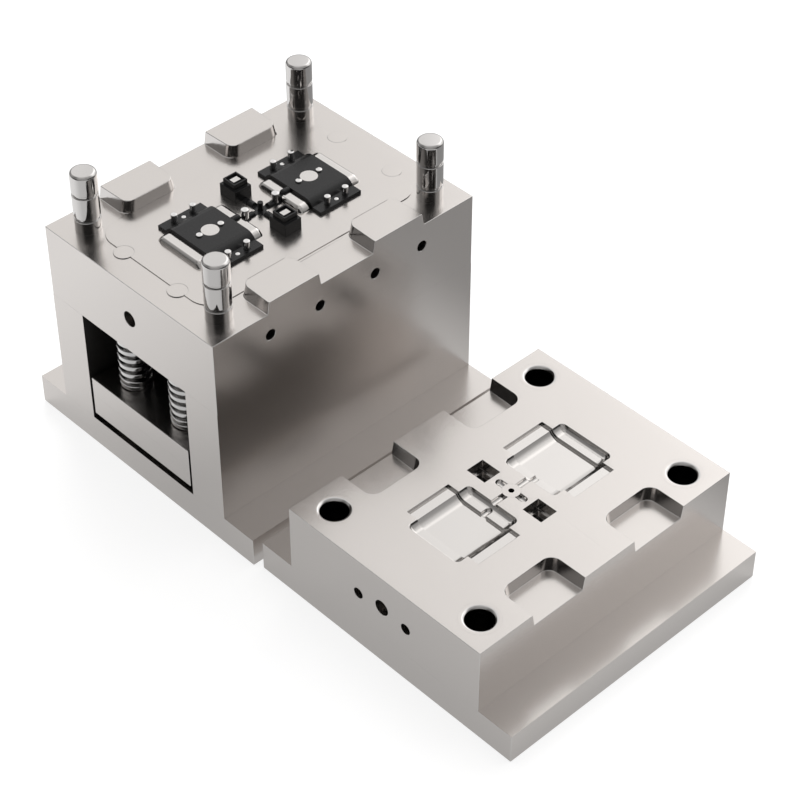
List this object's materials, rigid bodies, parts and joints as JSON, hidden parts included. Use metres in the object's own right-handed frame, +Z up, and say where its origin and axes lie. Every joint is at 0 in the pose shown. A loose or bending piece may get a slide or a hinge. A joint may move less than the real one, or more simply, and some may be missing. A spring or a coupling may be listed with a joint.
{
  "type": "injection mould",
  "caption": "Open two-plate injection mould with its ejector set, a black shot on the core, and the cavity half beside it.",
  "frame": {"origin": "bottom centre of the box around both halves as they lie", "axes": "+Z up, the way the mould opens; +X from the moving half to the fixed half; +Y to the back"},
  "size_m": [0.4052, 0.2028, 0.19],
  "materials": {
    "plate_steel": "ground, half bright",
    "polished_steel": "polished",
    "screw_steel": "blackened",
    "spring_steel": "satin",
    "black_plastic": "glossy, as moulded"
  },
  "bodies": {
    "moving_half": {"bottom_clamp_plate": "plate_steel", "spacer_block_left": "plate_steel", "spacer_block_right": "plate_steel", "core_plate": "plate_steel", "core_insert": "plate_steel", "core_insert_screws": "screw_steel", "core_pins": "polished_steel", "guide_pins": "polished_steel", "offset_guide_pin": "polished_steel", "core_half_screws": "screw_steel", "rest_buttons": "polished_steel", "return_springs": "spring_steel"},
    "ejector_set": {"ejector_base_plate": "plate_steel", "ejector_retainer_plate": "plate_steel", "ejector_plate_screws": "screw_steel", "return_pins": "polished_steel", "ejector_pins": "polished_steel", "runner_ejector_pins": "polished_steel", "sprue_puller_pin": "polished_steel", "moulded_panel_front": "black_plastic", "moulded_panel_rear": "black_plastic", "moulded_box_left": "black_plastic", "moulded_box_right": "black_plastic", "moulded_runner": "black_plastic"},
    "fixed_half": {"top_clamp_plate": "plate_steel", "cavity_plate": "plate_steel", "guide_bushes": "polished_steel", "offset_guide_bush": "polished_steel", "sprue_bush": "polished_steel", "sprue_bush_screws": "screw_steel", "cavity_half_screws": "screw_steel"}
  },
  "joints": [
    {"name": "ejector_slide", "type": "slide", "parent": "moving_half", "child": "ejector_set", "axis": [0, 0, 1], "range_m": [0, 0.02], "deforming": ["return_springs"]},
    {"name": "fixed_half_lift", "type": "slide", "parent": "moving_half", "child": "fixed_half", "axis": [0, 0, 1], "range_m": [0, 0.2]}
  ]
}
